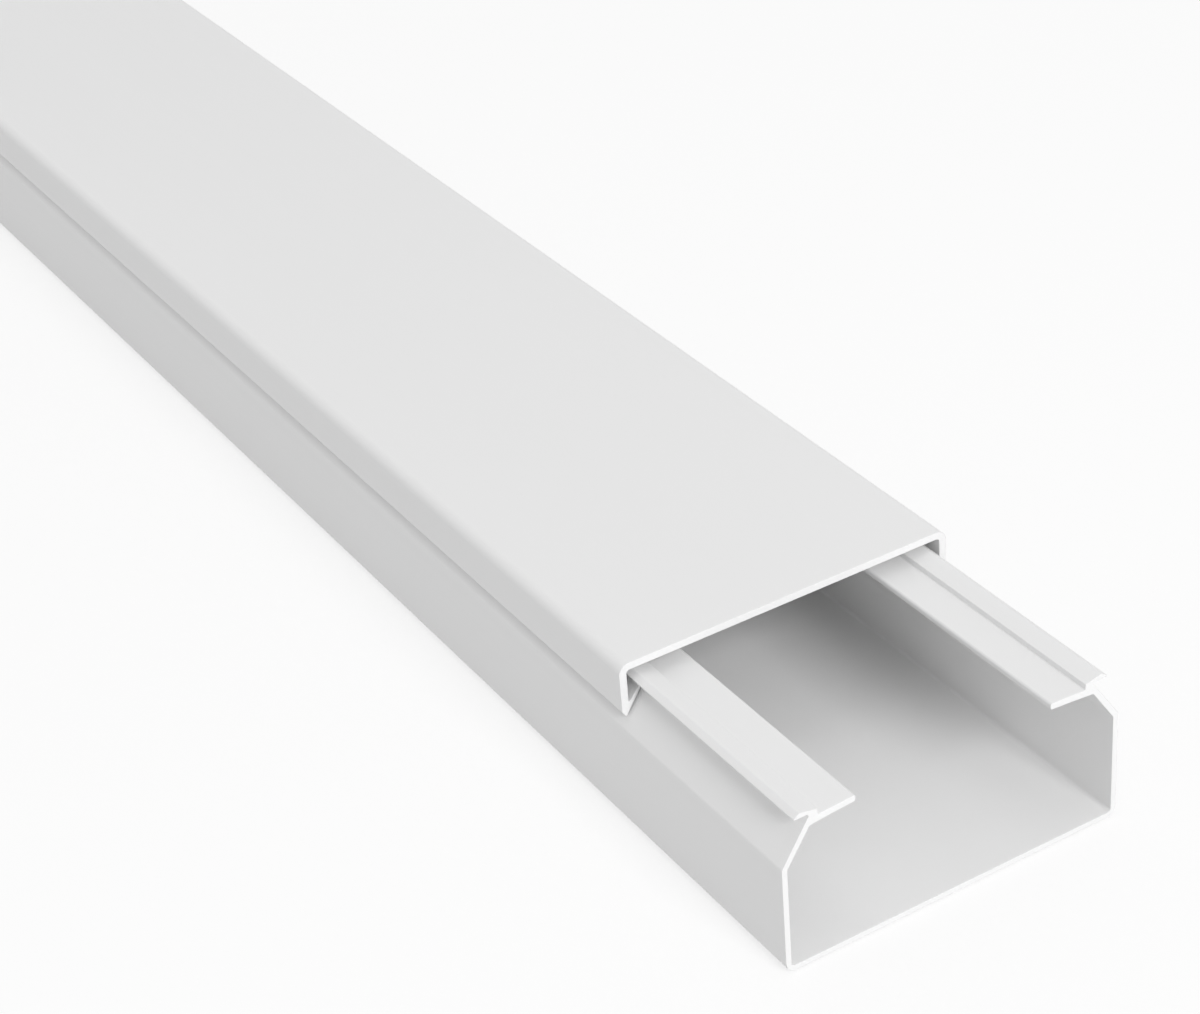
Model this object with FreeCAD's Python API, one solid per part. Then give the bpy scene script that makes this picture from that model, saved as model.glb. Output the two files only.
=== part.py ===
"""Two-piece cable raceway: a channel that is fixed to a wall, and a cover that clips on.

Millimetres. X runs along the length, with the open end at +X. Y runs across and Z is up, away
from the wall. The origin is the middle of the channel's underside.
"""

import FreeCAD, Part
import math
import os

# Whole raceway, with its cover on
stock_length = 1000.0
overall_width = 60.0
overall_height = 30.0
# How far the cover is drawn back from the channel's open end
cover_setback = 41.0

# Channel: floor, side walls and leaning shoulders, all of one wall thickness
channel_wall = 1.0
floor_outer_radius = 1.8
floor_inner_radius = 0.6
# Height of the shoulders, measured down from the top of the closed raceway to their foot
shoulder_depth = 11.2
# How far the shoulders lean inwards from upright, in degrees
shoulder_lean = 33.5
shoulder_outer_radius = 1.0
shoulder_inner_radius = 0.7

# Lips along the channel's mouth: a lower one that points inwards, rises to its free edge and
# thickens towards its root, and a raised one that points outwards and falls from its crest
inner_lip_width = 6.4
inner_lip_thickness = 1.15
inner_lip_rise = 0.4
inner_lip_end_radius = 0.4
root_drop = 0.25
root_taper_width = 4.0
root_taper_radius = 4.0
outer_lip_width = 4.05
outer_lip_thickness = 0.95
outer_lip_rise = 0.6
lip_step = 1.0
lip_step_radius = 0.15
lip_root_radius = 0.6
lip_notch_radius = 0.3
nose_width = 1.0
nose_drop = 0.7
crest_radius = 0.4
nose_upper_radius = 0.2
nose_lower_radius = 0.12

# Cover: a flat plate with two flanges, each with a barb on its inner side
cover_wall = 1.3
cover_outer_radius = 1.8
cover_inner_radius = 0.6
flange_depth = 9.4
# How far the flange's outer side is cut back above its end, and the bend where that starts
flange_cutback = 1.1
flange_cutback_radius = 0.8
flange_end_radius = 0.2
barb_rise = 4.6
barb_root_height = 2.3
barb_tip_thickness = 0.5
barb_tip_radius = 0.15

# The most of a side that the arc at one of its ends may take
fillet_share = 0.49

# Play between the cover and the channel
lid_clearance = 1.3
barb_clearance = 0.4
nose_side_gap = 1.05

# Heights and half widths that follow from the sizes above
half_width = overall_width / 2
inner_half_width = half_width - channel_wall
lean = math.radians(shoulder_lean)
shoulder_foot_z = overall_height - shoulder_depth
crest_z = overall_height - cover_wall - lid_clearance
outer_lip_under_z = crest_z - outer_lip_thickness
step_top_z = crest_z - outer_lip_rise
inner_lip_top_z = step_top_z - lip_step
inner_lip_under_z = inner_lip_top_z - inner_lip_thickness
nose_y = half_width - cover_wall - nose_side_gap
step_y = nose_y - outer_lip_width
mouth_half_width = step_y - inner_lip_width


def shoulder_y(z, offset=0.0):
    """Half width of the shoulder's outer face at height z, moved out square to it by offset."""
    return half_width - (z - shoulder_foot_z) * math.tan(lean) + offset / math.cos(lean)


def inner_lip_z(y):
    """Height of the lower lip's top at half width y; it rises towards the lip's free edge."""
    return inner_lip_top_z + (step_y - y) / inner_lip_width * inner_lip_rise


def rounded_wire(corners):
    """Closed outline through corners (y, z, radius), each rounded by a tangent arc.

    A radius too large for the sides beside its corner is limited by the shorter one of them.
    """
    points = [FreeCAD.Vector(0, y, z) for y, z, radius in corners]
    count = len(points)
    starts = []
    ends = []
    edges = []
    for i in range(count):
        here = points[i]
        back = points[i - 1] - here
        ahead = points[(i + 1) % count] - here
        longest_reach = fillet_share * min(back.Length, ahead.Length)
        back.normalize()
        ahead.normalize()
        half_angle = back.getAngle(ahead) / 2
        reach = min(corners[i][2] / math.tan(half_angle), longest_reach)
        radius = reach * math.tan(half_angle)
        start = here + back * reach
        end = here + ahead * reach
        starts.append(start)
        ends.append(end)
        bisector = (back + ahead).normalize()
        middle = here + bisector * (radius / math.sin(half_angle) - radius)
        edges.append(Part.Arc(start, middle, end).toShape())
    for i in range(count):
        edges.append(Part.LineSegment(ends[i - 1], starts[i]).toShape())
    return Part.Wire(Part.__sortEdges__(edges))


def extrude_section(right_half, x_start, length):
    """Solid of the section right_half and its mirror image, from x_start for length."""
    left_half = [(-y, z, radius) for y, z, radius in reversed(right_half)]
    face = Part.Face(rounded_wire(right_half + left_half))
    solid = face.extrude(FreeCAD.Vector(length, 0, 0))
    solid.translate(FreeCAD.Vector(x_start, 0, 0))
    return solid


def channel_outside():
    """Right half of the channel's outer side, from the floor up to the raised lip's crest."""
    return [
        (half_width, 0, floor_outer_radius),
        (half_width, shoulder_foot_z, shoulder_outer_radius),
        (shoulder_y(outer_lip_under_z), outer_lip_under_z, lip_notch_radius),
        (nose_y, outer_lip_under_z, nose_lower_radius),
        (nose_y, crest_z - nose_drop, nose_upper_radius),
        (nose_y - nose_width, crest_z, crest_radius),
    ]


def channel_inside():
    """Right half of the step and the lower lip, and the channel's inner side down to the floor."""
    root_z = inner_lip_under_z - root_drop
    root_y = shoulder_y(root_z, -channel_wall)
    taper_y = root_y - root_taper_width
    edge_z = inner_lip_z(mouth_half_width)
    inner_foot_z = shoulder_foot_z - channel_wall * math.tan(lean / 2)
    return [
        (step_y, step_top_z, lip_step_radius),
        (step_y, inner_lip_top_z, lip_step_radius),
        (mouth_half_width, edge_z, inner_lip_end_radius),
        (mouth_half_width, edge_z - inner_lip_thickness, inner_lip_end_radius),
        (taper_y, inner_lip_z(taper_y) - inner_lip_thickness, root_taper_radius),
        (root_y, root_z, lip_root_radius),
        (inner_half_width, inner_foot_z, shoulder_inner_radius),
        (inner_half_width, channel_wall, floor_inner_radius),
    ]


def base_channel():
    """The channel, as one extrusion, with square-cut ends."""
    return extrude_section(channel_outside() + channel_inside(), -stock_length / 2, stock_length)


def cover_barb():
    """Right barb, from the flange's end round the barb's tip to its root on the flange."""
    flange_end_z = overall_height - flange_depth
    tip_z = flange_end_z + barb_rise
    tip_y = shoulder_y(tip_z, barb_clearance)
    return [
        (shoulder_y(flange_end_z, barb_clearance), flange_end_z, flange_end_radius),
        (tip_y, tip_z, barb_tip_radius),
        (
            tip_y + barb_tip_thickness * math.cos(lean),
            tip_z + barb_tip_thickness * math.sin(lean),
            barb_tip_radius,
        ),
        (half_width - cover_wall, flange_end_z + barb_root_height, barb_tip_radius),
    ]


def cover():
    """The cover, as one extrusion, drawn back from the channel's open end."""
    outside = [
        (half_width, overall_height, cover_outer_radius),
        (half_width, overall_height - flange_depth + flange_cutback, flange_cutback_radius),
    ]
    inside = [(half_width - cover_wall, overall_height - cover_wall, cover_inner_radius)]
    right_half = outside + cover_barb() + inside
    return extrude_section(right_half, -stock_length / 2 - cover_setback, stock_length)


os.makedirs("parts", exist_ok=True)
for name, solid in {"base_channel": base_channel(), "cover": cover()}.items():
    solid.exportStep("parts/" + name + ".step")
    print(name, "valid", solid.isValid(), "solids", len(solid.Solids), "volume", round(solid.Volume, 1))
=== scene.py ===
"""Looks of a two-piece cable raceway in satin white rigid PVC, in a plain studio.

Metres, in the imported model's own frame: X runs along the length with the open end at +X, Y runs
across and Z is up. The channel and its clip-on cover are one extrusion each.
"""

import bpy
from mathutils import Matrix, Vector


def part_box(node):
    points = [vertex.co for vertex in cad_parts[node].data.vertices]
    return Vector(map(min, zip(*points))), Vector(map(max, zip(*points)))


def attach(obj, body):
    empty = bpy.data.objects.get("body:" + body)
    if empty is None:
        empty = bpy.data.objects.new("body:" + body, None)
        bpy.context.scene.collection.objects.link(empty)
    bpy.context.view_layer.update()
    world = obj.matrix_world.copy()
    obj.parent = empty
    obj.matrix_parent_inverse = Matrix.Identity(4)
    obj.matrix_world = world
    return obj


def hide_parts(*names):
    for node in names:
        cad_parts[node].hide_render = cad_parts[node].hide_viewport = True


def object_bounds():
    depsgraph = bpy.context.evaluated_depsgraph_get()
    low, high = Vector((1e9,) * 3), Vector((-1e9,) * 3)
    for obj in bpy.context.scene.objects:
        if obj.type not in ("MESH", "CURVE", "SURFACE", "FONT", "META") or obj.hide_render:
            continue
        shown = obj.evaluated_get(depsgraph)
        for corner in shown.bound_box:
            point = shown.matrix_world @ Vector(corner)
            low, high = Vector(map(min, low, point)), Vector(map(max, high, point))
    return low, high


bl_info = {
    "name": "Cable Raceway",
    "version": (1, 0, 0),
    "blender": (4, 5, 0),
    "location": "3D View > Sidebar > Raceway",
    "description": "Builds a two-piece cable raceway and a plain studio round it",
    "category": "Add Mesh",
}

import math
import random

import bmesh
import bpy
from bpy.props import FloatProperty, FloatVectorProperty, IntProperty, PointerProperty
from mathutils import Matrix, Vector

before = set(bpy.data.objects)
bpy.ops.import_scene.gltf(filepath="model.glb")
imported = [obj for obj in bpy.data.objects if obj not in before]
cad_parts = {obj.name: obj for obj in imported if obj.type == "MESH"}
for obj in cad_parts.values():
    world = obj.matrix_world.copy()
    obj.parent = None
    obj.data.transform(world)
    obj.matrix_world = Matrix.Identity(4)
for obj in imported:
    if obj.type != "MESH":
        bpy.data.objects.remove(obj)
cad_low, cad_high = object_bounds()
channel_low, channel_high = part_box("base_channel")
cover_low, cover_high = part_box("cover")

MM = 0.001

# Order of the materials on an extrusion
EXTRUDED = 0
SAWN = 1

PVC_IOR = 1.53
# Grains of noise for each metre along X, Y and Z
DIE_LINES = (1.5, 1700.0, 1700.0)
SKIN_PEEL = (350.0, 700.0, 700.0)
TONE_DRIFT = (6.0, 40.0, 40.0)
SAW_MARKS = (1.0, 260.0, 4200.0)
SAWN_GRIT = (5000.0, 5000.0, 5000.0)
# The stretch that most values of the noise lie in
NOISE_LOW = 0.3
NOISE_HIGH = 0.7

# The floor: half its side, its depth below the object, and the grey that the object is lit by
FLOOR_REACH = 8.0
FLOOR_DROP = 0.0002
FLOOR_GREY = 0.8

# The camera: its sensor in millimetres, and the nearest and farthest that it sees
SENSOR_WIDTH = 36.0
NEAREST = 0.01
FARTHEST = 50.0

OVERHEAD = math.radians(90)


def size(name, description, millimetres):
    """A length that the user may change, given here in millimetres and kept in metres."""
    return FloatProperty(
        name=name,
        description=description,
        default=millimetres * MM,
        min=0.0,
        precision=5,
        unit="LENGTH",
    )


def power(name, description, watts):
    """The strength of a lamp that the user may change."""
    return FloatProperty(name=name, description=description, default=watts, min=0.0, unit="POWER")


def share(name, description, default):
    """A number from 0 to 1 that the user may change."""
    return FloatProperty(
        name=name, description=description, default=default, min=0.0, max=1.0, subtype="FACTOR"
    )


def angle(name, description, degrees):
    """An angle that the user may change, given here in degrees and kept in radians."""
    return FloatProperty(
        name=name, description=description, default=math.radians(degrees), subtype="ANGLE"
    )


def colour(name, description, default):
    """A linear colour that the user may change."""
    return FloatVectorProperty(
        name=name, description=description, default=default, min=0.0, max=1.0, subtype="COLOR"
    )


class RacewayChannelSizes(bpy.types.PropertyGroup):
    """Cross-section of the channel"""

    wall: size("Wall", "Thickness of the floor, side walls and shoulders", 1.0)
    floor_outer_radius: size("Floor outer radius", "Outer corner of floor and side wall", 1.8)
    floor_inner_radius: size("Floor inner radius", "Inner corner of floor and side wall", 0.6)
    shoulder_depth: size("Shoulder depth", "From the cover's top down to the shoulder's foot", 11.2)
    shoulder_lean: angle("Shoulder lean", "How far the shoulders lean inwards from upright", 33.5)
    shoulder_outer_radius: size("Shoulder outer radius", "Outer bend at the shoulder's foot", 1.0)
    shoulder_inner_radius: size("Shoulder inner radius", "Inner bend at the shoulder's foot", 0.7)
    inner_lip_width: size("Inner lip width", "Width of the lower lip, which points inwards", 6.4)
    inner_lip_thickness: size("Inner lip thickness", "Thickness of the lower lip's free part", 1.15)
    inner_lip_rise: size("Inner lip rise", "How much the lower lip climbs to its free edge", 0.4)
    inner_lip_end_radius: size("Inner lip end radius", "Rounding of the lower lip's free edge", 0.4)
    root_drop: size("Root drop", "How much thicker the lower lip is at its root", 0.25)
    root_taper_width: size("Root taper width", "Width over which the lower lip thickens", 4.0)
    root_taper_radius: size("Root taper radius", "Bend where the lower lip starts to thicken", 4.0)
    outer_lip_width: size("Outer lip width", "Width of the raised lip, which points outwards", 4.05)
    outer_lip_thickness: size("Outer lip thickness", "Thickness of the raised lip's crest", 0.95)
    outer_lip_rise: size("Outer lip rise", "How much the raised lip climbs to its crest", 0.6)
    lip_step: size("Lip step", "Height of the raised lip above the lower one", 1.0)
    lip_step_radius: size("Lip step radius", "Rounding of the step between the lips", 0.15)
    lip_root_radius: size("Lip root radius", "Hollow where the lower lip meets the shoulder", 0.6)
    lip_notch_radius: size("Lip notch radius", "Hollow under the raised lip, at the shoulder", 0.3)
    nose_width: size("Nose width", "From the raised lip's crest out to its edge", 1.0)
    nose_drop: size("Nose drop", "From the raised lip's crest down to its edge", 0.7)
    crest_radius: size("Crest radius", "Rounding of the raised lip's crest", 0.4)
    nose_upper_radius: size("Nose upper radius", "Upper rounding of the raised lip's edge", 0.2)
    nose_lower_radius: size("Nose lower radius", "Lower rounding of the raised lip's edge", 0.12)


class RacewayCoverSizes(bpy.types.PropertyGroup):
    """Cross-section of the cover, and its play on the channel"""

    wall: size("Wall", "Thickness of the plate and the flanges", 1.3)
    outer_radius: size("Outer radius", "Outer bend between plate and flange", 1.8)
    inner_radius: size("Inner radius", "Inner bend between plate and flange", 0.6)
    flange_depth: size("Flange depth", "From the cover's top down to the flange's end", 9.4)
    flange_cutback: size("Flange cutback", "How far the outer side is cut back above the end", 1.1)
    flange_cutback_radius: size("Cutback radius", "Bend where the outer side is cut back", 0.8)
    flange_end_radius: size("Flange end radius", "Rounding of the flange's end", 0.2)
    barb_rise: size("Barb rise", "Height of the barb's tip above the flange's end", 4.6)
    barb_root_height: size("Barb root height", "Height of the barb's root above that end", 2.3)
    barb_tip_thickness: size("Barb tip thickness", "Thickness of the barb's tip", 0.5)
    barb_tip_radius: size("Barb tip radius", "Rounding of the barb's edges", 0.15)
    lid_clearance: size("Lid clearance", "Play between the plate and the raised lips", 1.3)
    barb_clearance: size("Barb clearance", "Play between a barb and the shoulder", 0.4)
    nose_side_gap: size("Nose side gap", "Gap between a flange and the raised lip's edge", 1.05)


class RacewayCut(bpy.types.PropertyGroup):
    """How finely the extrusions are made, and how their ends are cut"""

    arc_steps: IntProperty(
        name="Arc steps", description="Straight steps in each rounded corner", default=10, min=2
    )
    fillet_share: share("Fillet share", "The most of a side that one rounded corner may take", 0.49)
    edge_break: size("Edge break", "Width of the fine bevel that sawing leaves", 0.07)
    edge_roughness: size("Edge roughness", "How far a sawn edge strays from true", 0.025)
    seed: IntProperty(name="Seed", description="Start of the random numbers", default=7)


class RacewayPlastic(bpy.types.PropertyGroup):
    """Satin white rigid PVC, as extruded and as sawn"""

    pale: colour("Pale", "Lightest tone of the plastic", (0.86, 0.86, 0.86))
    deep: colour("Deep", "Darkest tone of the plastic", (0.845, 0.845, 0.845))
    sawn: colour("Sawn", "Tone of a sawn end", (0.89, 0.89, 0.89))
    gloss_low: share("Smoothest", "Roughness where the die left the smoothest skin", 0.38)
    gloss_high: share("Roughest", "Roughness where the die left the roughest skin", 0.48)
    sawn_roughness: share("Sawn roughness", "Roughness of a sawn end", 0.62)
    line_depth: size("Die line depth", "Depth of the fine lines along the length", 0.004)
    peel_depth: size("Peel depth", "Depth of the skin's fine unevenness", 0.004)
    saw_depth: size("Saw mark depth", "Depth of the saw marks on a cut end", 0.02)
    glow_depth: size("Glow depth", "How far light spreads inside the plastic", 0.6)
    glow: share("Glow", "Share of the light that spreads inside the plastic", 0.15)


class RacewayStudio(bpy.types.PropertyGroup):
    """Plain soft studio light and the camera"""

    key_power: power("Key power", "Strength of the lamp before the open end", 25.4)
    key_elevation: angle("Key elevation", "Height of the key lamp over the horizon", 35.0)
    top_power: power("Top power", "Strength of the lamp over the open end", 2.2)
    lamp_distance: size("Lamp distance", "From the open end to each lamp", 2200.0)
    lamp_width: size("Lamp width", "Side of each square lamp", 800.0)
    sky: FloatProperty(name="Sky", description="Strength of the even light all round", default=0.59)
    floor_glow: share("Floor glow", "Share of the floor's white that shadows leave alone", 0.72)
    camera_x: size("Camera ahead", "From the open end to the camera, along the length", 254.54)
    camera_y: size("Camera aside", "From the middle to the camera, across", 195.17)
    camera_z: size("Camera height", "Height of the camera above the floor", 271.63)
    azimuth: angle("Azimuth", "Direction that the camera looks from, round the object", 60.910)
    elevation: angle("Elevation", "How far the camera looks down", 32.269)
    roll: angle("Roll", "How far the camera is tipped sideways", -4.939)
    lens: FloatProperty(
        name="Lens", description="Focal length on a 36 mm wide sensor", default=85.2, unit="CAMERA"
    )


class RacewaySettings(bpy.types.PropertyGroup):
    """Everything that the raceway's tools read"""

    channel: PointerProperty(type=RacewayChannelSizes)
    cover: PointerProperty(type=RacewayCoverSizes)
    cut: PointerProperty(type=RacewayCut)
    plastic: PointerProperty(type=RacewayPlastic)
    studio: PointerProperty(type=RacewayStudio)


class RacewaySection:
    """Right halves of both sections as corners (y, z, radius), worked out from the settings."""

    def __init__(self, settings):
        self.channel = settings.channel
        self.cover = settings.cover
        self.half_width = cad_high.y
        self.height = cad_high.z
        self.foot_z = self.height - self.channel.shoulder_depth
        self.crest = self.height - self.cover.wall - self.cover.lid_clearance
        self.outer_lip_under = self.crest - self.channel.outer_lip_thickness
        self.step_top = self.crest - self.channel.outer_lip_rise
        self.inner_lip_top = self.step_top - self.channel.lip_step
        self.inner_lip_under = self.inner_lip_top - self.channel.inner_lip_thickness
        self.nose = self.half_width - self.cover.wall - self.cover.nose_side_gap
        self.step = self.nose - self.channel.outer_lip_width
        self.mouth = self.step - self.channel.inner_lip_width

    def shoulder(self, z, offset=0.0):
        """Half width of the shoulder's outer face at height z, moved out square to it."""
        lean = self.channel.shoulder_lean
        return self.half_width - (z - self.foot_z) * math.tan(lean) + offset / math.cos(lean)

    def lip_top(self, y):
        """Height of the lower lip's top at half width y; it rises towards the free edge."""
        climbed = (self.step - y) / self.channel.inner_lip_width
        return self.inner_lip_top + climbed * self.channel.inner_lip_rise

    def channel_outside(self):
        """From the floor's corner up the outside to the raised lip's crest."""
        c = self.channel
        return [
            (self.half_width, channel_low.z, c.floor_outer_radius),
            (self.half_width, self.foot_z, c.shoulder_outer_radius),
            (self.shoulder(self.outer_lip_under), self.outer_lip_under, c.lip_notch_radius),
            (self.nose, self.outer_lip_under, c.nose_lower_radius),
            (self.nose, self.crest - c.nose_drop, c.nose_upper_radius),
            (self.nose - c.nose_width, self.crest, c.crest_radius),
        ]

    def channel_inside(self):
        """Down the step, round the lower lip and down the inside to the floor."""
        c = self.channel
        inner_half = self.half_width - c.wall
        inner_foot = self.foot_z - c.wall * math.tan(c.shoulder_lean / 2)
        root_z = self.inner_lip_under - c.root_drop
        root_y = self.shoulder(root_z, -c.wall)
        taper_y = root_y - c.root_taper_width
        edge_z = self.lip_top(self.mouth)
        return [
            (self.step, self.step_top, c.lip_step_radius),
            (self.step, self.inner_lip_top, c.lip_step_radius),
            (self.mouth, edge_z, c.inner_lip_end_radius),
            (self.mouth, edge_z - c.inner_lip_thickness, c.inner_lip_end_radius),
            (taper_y, self.lip_top(taper_y) - c.inner_lip_thickness, c.root_taper_radius),
            (root_y, root_z, c.lip_root_radius),
            (inner_half, inner_foot, c.shoulder_inner_radius),
            (inner_half, channel_low.z + c.wall, c.floor_inner_radius),
        ]

    def cover_half(self):
        """Down the outside of the cover, round the flange's barb and up the inside."""
        c = self.cover
        lean = self.channel.shoulder_lean
        inner_half = self.half_width - c.wall
        flange_end = self.height - c.flange_depth
        tip_z = flange_end + c.barb_rise
        tip_y = self.shoulder(tip_z, c.barb_clearance)
        tip_across = c.barb_tip_thickness * math.cos(lean)
        tip_up = c.barb_tip_thickness * math.sin(lean)
        return [
            (self.half_width, self.height, c.outer_radius),
            (self.half_width, flange_end + c.flange_cutback, c.flange_cutback_radius),
            (self.shoulder(flange_end, c.barb_clearance), flange_end, c.flange_end_radius),
            (tip_y, tip_z, c.barb_tip_radius),
            (tip_y + tip_across, tip_z + tip_up, c.barb_tip_radius),
            (inner_half, flange_end + c.barb_root_height, c.barb_tip_radius),
            (inner_half, self.height - c.wall, c.inner_radius),
        ]


def mirrored(right_half):
    """The whole section's corners: its right half, then the same corners on the left."""
    return right_half + [(-y, z, radius) for y, z, radius in reversed(right_half)]


def turn_of(section):
    """1 where the corners run anticlockwise in (y, z), and -1 where they run clockwise."""
    area = 0.0
    for i, (y, z, radius) in enumerate(section):
        area += section[i - 1][0] * z - y * section[i - 1][1]
    return math.copysign(1.0, area)


def rounded_outline(corners, cut):
    """Points of the outline with each corner rounded by an arc, and the outward normal at each."""
    places = [Vector((y, z)) for y, z, radius in corners]
    points = []
    normals = []
    for i, here in enumerate(places):
        back = places[i - 1] - here
        ahead = places[(i + 1) % len(places)] - here
        longest_reach = cut.fillet_share * min(back.length, ahead.length)
        back.normalize()
        ahead.normalize()
        half_angle = back.angle(ahead) / 2
        reach = min(corners[i][2] / math.tan(half_angle), longest_reach)
        radius = reach * math.tan(half_angle)
        centre = here + (back + ahead).normalized() * (radius / math.sin(half_angle))
        spoke = here + back * reach - centre
        bend = math.copysign(1.0, ahead.x * back.y - ahead.y * back.x)
        sweep = bend * (math.pi - 2 * half_angle)
        for step in range(cut.arc_steps + 1):
            turned = Matrix.Rotation(sweep * step / cut.arc_steps, 2) @ spoke
            points.append(centre + turned)
            normals.append(turned.normalized() * bend)
    return points, normals


def extruded_mesh(name, right_half, x_low, x_high, cut):
    """Mesh of the section from x_low to x_high, with slightly uneven bevels on its cut edges."""
    corners = mirrored(right_half)
    if turn_of(corners) < 0:
        corners.reverse()
    points, normals = rounded_outline(corners, cut)
    dice = random.Random(cut.seed)
    stations = [
        (x_low, True),
        (x_low + cut.edge_break, False),
        (x_high - cut.edge_break, False),
        (x_high, True),
    ]
    sheet = bmesh.new()
    rings = []
    for x, is_cut in stations:
        ring = []
        for point, normal in zip(points, normals):
            inset = 0.0
            if is_cut:
                inset = cut.edge_break + dice.uniform(-1, 1) * cut.edge_roughness
            place = point - normal * inset
            ring.append(sheet.verts.new((x, place.x, place.y)))
        rings.append(ring)
    count = len(points)
    for lower in range(len(rings) - 1):
        near = rings[lower]
        far = rings[lower + 1]
        for i in range(count):
            j = (i + 1) % count
            skin = sheet.faces.new((near[i], near[j], far[j], far[i]))
            skin.smooth = True
            skin.material_index = EXTRUDED if lower == 1 else SAWN
    for ring in (rings[0][::-1], rings[-1]):
        end = sheet.faces.new(ring)
        end.material_index = SAWN
    mesh = bpy.data.meshes.new(name)
    sheet.to_mesh(mesh)
    sheet.free()
    return mesh


def add_extrusion(name, right_half, x_low, x_high, settings):
    """Object of one extrusion, shaded so that its flats stay flat between the rounded corners."""
    mesh = extruded_mesh(name, right_half, x_low, x_high, settings.cut)
    piece = bpy.data.objects.new(name, mesh)
    bpy.context.scene.collection.objects.link(piece)
    piece.data.materials.append(extruded_plastic(settings.plastic))
    piece.data.materials.append(sawn_plastic(settings.plastic))
    shading = piece.modifiers.new("Flat faces", "WEIGHTED_NORMAL")
    shading.keep_sharp = True
    return piece


class Nodes:
    """Short way to add and join a material's nodes."""

    def __init__(self, tree):
        self.tree = tree
        self.tree.nodes.clear()

    def add(self, kind, settings=None, **sockets):
        """New node of that kind, with its settings, and its sockets set or linked."""
        node = self.tree.nodes.new(kind)
        for key, value in (settings or {}).items():
            setattr(node, key, value)
        for key, value in sockets.items():
            self.join(node.inputs[key.replace("_", " ")], value)
        return node

    def join(self, socket, value):
        """Links value where it is a socket, and sets it as the default otherwise."""
        if isinstance(value, bpy.types.NodeSocket):
            self.tree.links.new(value, socket)
        else:
            socket.default_value = value


def new_material(name):
    """A material without nodes, and the way to add them."""
    material = bpy.data.materials.new(name)
    material.use_nodes = True
    return material, Nodes(material.node_tree)


def opaque(tone):
    """A colour of three numbers as one of four."""
    return (*tone, 1.0)


def grey(level):
    """An opaque grey, where 1 is white."""
    return (level, level, level, 1.0)


def scaled_place(nodes, scale):
    """The surface's own place, stretched by scale along X, Y and Z."""
    place = nodes.add("ShaderNodeTexCoord").outputs["Object"]
    stretched = nodes.add("ShaderNodeVectorMath", {"operation": "MULTIPLY"})
    nodes.join(stretched.inputs[0], place)
    nodes.join(stretched.inputs[1], scale)
    return stretched.outputs[0]


def noise(nodes, scale, detail):
    """Grey noise, with scale in grains for each metre along X, Y and Z."""
    place = scaled_place(nodes, scale)
    return nodes.add("ShaderNodeTexNoise", Vector=place, Scale=1.0, Detail=detail).outputs["Fac"]


def between(nodes, factor, low, high):
    """A number from low to high, as a noise goes through the stretch that most of it lies in."""
    ends = {"From_Min": NOISE_LOW, "From_Max": NOISE_HIGH, "To_Min": low, "To_Max": high}
    return nodes.add("ShaderNodeMapRange", Value=factor, **ends).outputs["Result"]


def mixed(nodes, factor, first, second):
    """A colour between first and second."""
    mix = nodes.add("ShaderNodeMix", {"data_type": "RGBA"})
    nodes.join(mix.inputs["Factor"], factor)
    colours = [socket for socket in mix.inputs if socket.type == "RGBA"]
    nodes.join(colours[0], opaque(first))
    nodes.join(colours[1], opaque(second))
    return [socket for socket in mix.outputs if socket.type == "RGBA"][0]


def bumped(nodes, height, depth, base=None):
    """Normal that height raises by up to depth, on top of base."""
    bump = nodes.add("ShaderNodeBump", Height=height, Distance=depth, Strength=1.0)
    if base is not None:
        nodes.join(bump.inputs["Normal"], base)
    return bump.outputs["Normal"]


def plastic_shader(nodes, plastic, tone, roughness, normal):
    """Rigid PVC: a glossy skin over an opaque white body that light enters a little way."""
    shader = nodes.add("ShaderNodeBsdfPrincipled", Normal=normal)
    nodes.join(shader.inputs["Base Color"], tone)
    nodes.join(shader.inputs["Roughness"], roughness)
    shader.inputs["IOR"].default_value = PVC_IOR
    shader.inputs["Subsurface Weight"].default_value = plastic.glow
    shader.inputs["Subsurface Radius"].default_value = (1.0, 1.0, 1.0)
    shader.inputs["Subsurface Scale"].default_value = plastic.glow_depth
    nodes.add("ShaderNodeOutputMaterial", Surface=shader.outputs[0])


def extruded_plastic(plastic):
    """The skin as it leaves the die: satin, with very fine lines along the length."""
    material, nodes = new_material("extruded_pvc")
    lines = noise(nodes, DIE_LINES, detail=3.0)
    peel = noise(nodes, SKIN_PEEL, detail=2.0)
    drift = noise(nodes, TONE_DRIFT, detail=2.0)
    tone = mixed(nodes, drift, plastic.deep, plastic.pale)
    roughness = between(nodes, lines, plastic.gloss_low, plastic.gloss_high)
    normal = bumped(nodes, peel, plastic.peel_depth)
    normal = bumped(nodes, lines, plastic.line_depth, normal)
    plastic_shader(nodes, plastic, tone, roughness, normal)
    return material


def sawn_plastic(plastic):
    """A sawn end: matt and a little paler, with fine marks across it."""
    material, nodes = new_material("sawn_pvc")
    marks = noise(nodes, SAW_MARKS, detail=3.0)
    grit = noise(nodes, SAWN_GRIT, detail=2.0)
    tone = mixed(nodes, grit, plastic.pale, plastic.sawn)
    roughness = between(nodes, marks, plastic.sawn_roughness, 1.0)
    normal = bumped(nodes, marks, plastic.saw_depth)
    normal = bumped(nodes, grit, plastic.peel_depth, normal)
    plastic_shader(nodes, plastic, tone, roughness, normal)
    return material


class RACEWAY_OT_channel(bpy.types.Operator):
    """Build the channel, with its leaning shoulders and its two lips on each side"""

    bl_idname = "raceway.add_channel"
    bl_label = "Add Channel"

    def execute(self, context):
        settings = context.scene.raceway
        section = RacewaySection(settings)
        half = section.channel_outside() + section.channel_inside()
        piece = add_extrusion("channel_extrusion", half, channel_low.x, channel_high.x, settings)
        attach(piece, "channel")
        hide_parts("base_channel")
        return {"FINISHED"}


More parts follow.
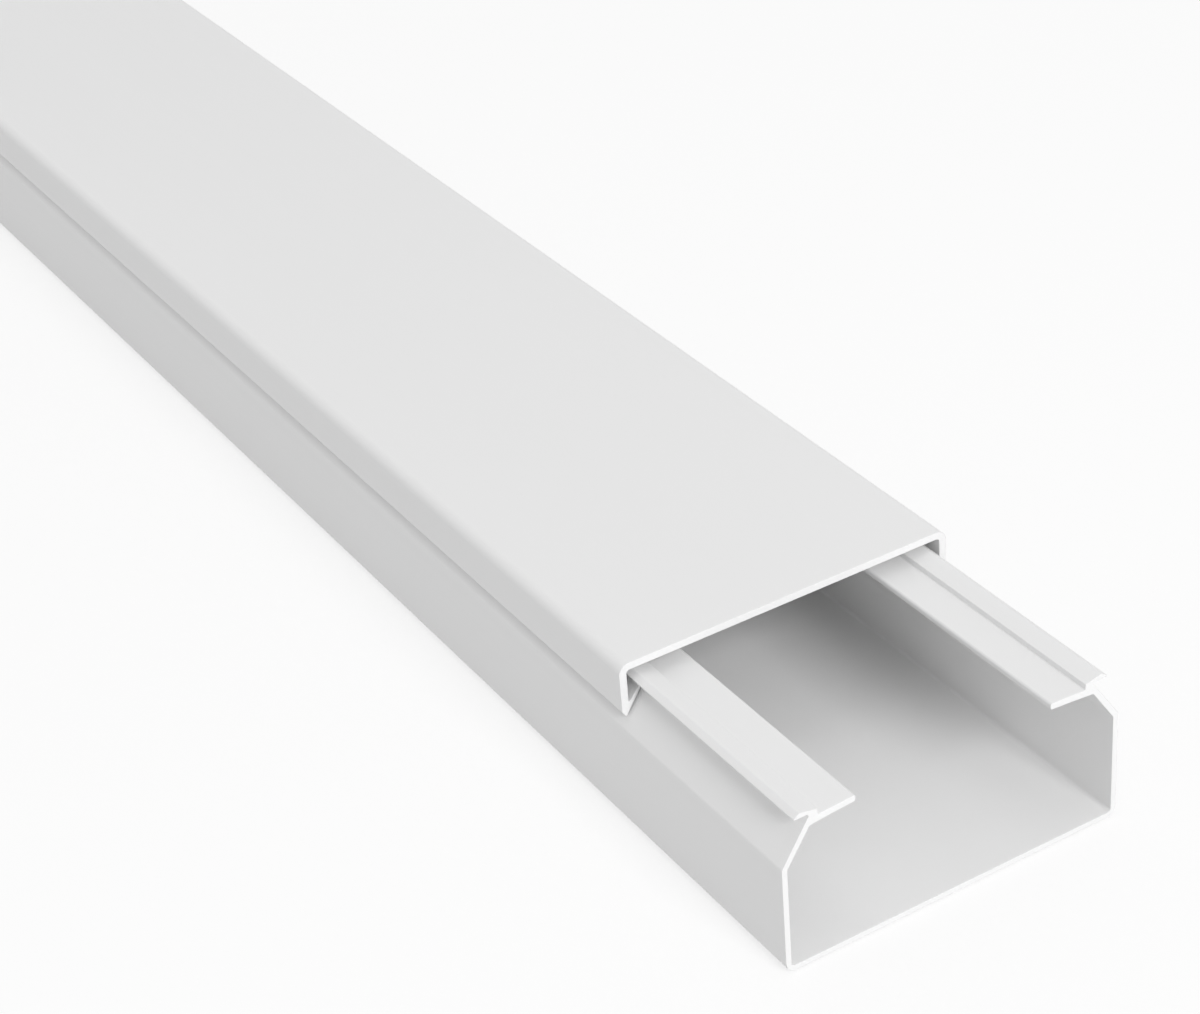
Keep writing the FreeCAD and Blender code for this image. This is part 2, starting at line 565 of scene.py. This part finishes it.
class RACEWAY_OT_cover(bpy.types.Operator):
    """Build the clip-on cover, drawn back from the channel's open end"""

    bl_idname = "raceway.add_cover"
    bl_label = "Add Cover"

    def execute(self, context):
        settings = context.scene.raceway
        half = RacewaySection(settings).cover_half()
        piece = add_extrusion("cover_extrusion", half, cover_low.x, cover_high.x, settings)
        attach(piece, "cover")
        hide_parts("cover")
        return {"FINISHED"}


def seen_directly(nodes):
    """1 for rays that show the background itself, in the picture, a reflection or through glass."""
    path = nodes.add("ShaderNodeLightPath")
    seen = path.outputs["Is Camera Ray"]
    for ray in ("Is Glossy Ray", "Is Transmission Ray"):
        either = nodes.add("ShaderNodeMath", {"operation": "MAXIMUM"})
        nodes.join(either.inputs[0], seen)
        nodes.join(either.inputs[1], path.outputs[ray])
        seen = either.outputs[0]
    return seen


def floor_paper(studio):
    """Paper that the camera sees as white with soft shadows, and that lights the object evenly."""
    material, nodes = new_material("floor_paper")
    shown = nodes.add("ShaderNodeBsdfDiffuse", Color=grey(1.0 - studio.floor_glow))
    glow = nodes.add("ShaderNodeEmission", Color=grey(1.0), Strength=studio.floor_glow)
    paper = nodes.add("ShaderNodeBsdfDiffuse", Color=grey(FLOOR_GREY))
    both = nodes.add("ShaderNodeAddShader")
    nodes.join(both.inputs[0], shown.outputs[0])
    nodes.join(both.inputs[1], glow.outputs[0])
    choice = nodes.add("ShaderNodeMixShader")
    nodes.join(choice.inputs[0], seen_directly(nodes))
    nodes.join(choice.inputs[1], paper.outputs[0])
    nodes.join(choice.inputs[2], both.outputs[0])
    nodes.add("ShaderNodeOutputMaterial", Surface=choice.outputs[0])
    return material


def add_floor(studio):
    """A wide level sheet just under the object."""
    z = channel_low.z - FLOOR_DROP
    sheet = bmesh.new()
    corners = [(-1, -1), (1, -1), (1, 1), (-1, 1)]
    sheet.faces.new([sheet.verts.new((x * FLOOR_REACH, y * FLOOR_REACH, z)) for x, y in corners])
    mesh = bpy.data.meshes.new("floor")
    sheet.to_mesh(mesh)
    sheet.free()
    floor = bpy.data.objects.new("floor", mesh)
    floor.data.materials.append(floor_paper(studio))
    bpy.context.scene.collection.objects.link(floor)


def set_sky(studio):
    """Even light all round, which the camera sees as plain white."""
    world = bpy.data.worlds.new("studio_air")
    world.use_nodes = True
    bpy.context.scene.world = world
    nodes = Nodes(world.node_tree)
    even = nodes.add("ShaderNodeBackground", Color=grey(1.0), Strength=studio.sky)
    white = nodes.add("ShaderNodeBackground", Color=grey(1.0), Strength=1.0)
    choice = nodes.add("ShaderNodeMixShader")
    nodes.join(choice.inputs[0], seen_directly(nodes))
    nodes.join(choice.inputs[1], even.outputs[0])
    nodes.join(choice.inputs[2], white.outputs[0])
    nodes.add("ShaderNodeOutputWorld", Surface=choice.outputs[0])


def add_lamp(name, watts, elevation, studio):
    """A soft square lamp that faces the open end, from that elevation over the horizon."""
    away = Vector((math.cos(elevation), 0.0, math.sin(elevation)))
    light = bpy.data.lights.new(name, "AREA")
    light.shape = "SQUARE"
    light.size = studio.lamp_width
    light.energy = watts
    lamp = bpy.data.objects.new(name, light)
    lamp.location = Vector((channel_high.x, 0, cad_high.z)) + away * studio.lamp_distance
    lamp.rotation_mode = "QUATERNION"
    lamp.rotation_quaternion = (-away).to_track_quat("-Z", "Y")
    lamp.visible_camera = False
    bpy.context.scene.collection.objects.link(lamp)


def add_camera(studio):
    """The camera at the photograph's place, turned and tipped as it was."""
    a = studio.azimuth
    e = studio.elevation
    ahead = Vector((-math.sin(a) * math.cos(e), math.cos(a) * math.cos(e), -math.sin(e)))
    level_right = ahead.cross(Vector((0, 0, 1))).normalized()
    level_up = level_right.cross(ahead)
    right = level_right * math.cos(studio.roll) + level_up * math.sin(studio.roll)
    up = right.cross(ahead)
    data = bpy.data.cameras.new("camera")
    data.sensor_width = SENSOR_WIDTH
    data.lens = studio.lens
    data.clip_start = NEAREST
    data.clip_end = FARTHEST
    camera = bpy.data.objects.new("camera", data)
    place = Vector((channel_high.x + studio.camera_x, -studio.camera_y, studio.camera_z))
    turned = Matrix((right, up, -ahead)).transposed().to_4x4()
    camera.matrix_world = Matrix.Translation(place) @ turned
    bpy.context.scene.collection.objects.link(camera)
    bpy.context.scene.camera = camera


class RACEWAY_OT_stage(bpy.types.Operator):
    """Set the plain pale floor, the soft lamps and the camera"""

    bl_idname = "raceway.set_stage"
    bl_label = "Set Stage"

    def execute(self, context):
        studio = context.scene.raceway.studio
        add_floor(studio)
        set_sky(studio)
        add_lamp("key_lamp", studio.key_power, studio.key_elevation, studio)
        add_lamp("top_lamp", studio.top_power, OVERHEAD, studio)
        add_camera(studio)
        context.scene.view_settings.view_transform = "Standard"
        return {"FINISHED"}


class RACEWAY_PT_panel(bpy.types.Panel):
    """Tools of the cable raceway"""

    bl_label = "Cable Raceway"
    bl_idname = "RACEWAY_PT_panel"
    bl_space_type = "VIEW_3D"
    bl_region_type = "UI"
    bl_category = "Raceway"

    def draw(self, context):
        for operator in OPERATORS:
            self.layout.operator(operator.bl_idname)


OPERATORS = (RACEWAY_OT_channel, RACEWAY_OT_cover, RACEWAY_OT_stage)
CLASSES = (
    RacewayChannelSizes,
    RacewayCoverSizes,
    RacewayCut,
    RacewayPlastic,
    RacewayStudio,
    RacewaySettings,
    *OPERATORS,
    RACEWAY_PT_panel,
)


def register():
    for each in CLASSES:
        bpy.utils.register_class(each)
    bpy.types.Scene.raceway = PointerProperty(type=RacewaySettings)


def unregister():
    del bpy.types.Scene.raceway
    for each in reversed(CLASSES):
        bpy.utils.unregister_class(each)


def main():
    """Builds the raceway and its studio."""
    register()
    bpy.ops.raceway.add_channel()
    bpy.ops.raceway.add_cover()
    bpy.ops.raceway.set_stage()


if __name__ == "__main__":
    main()
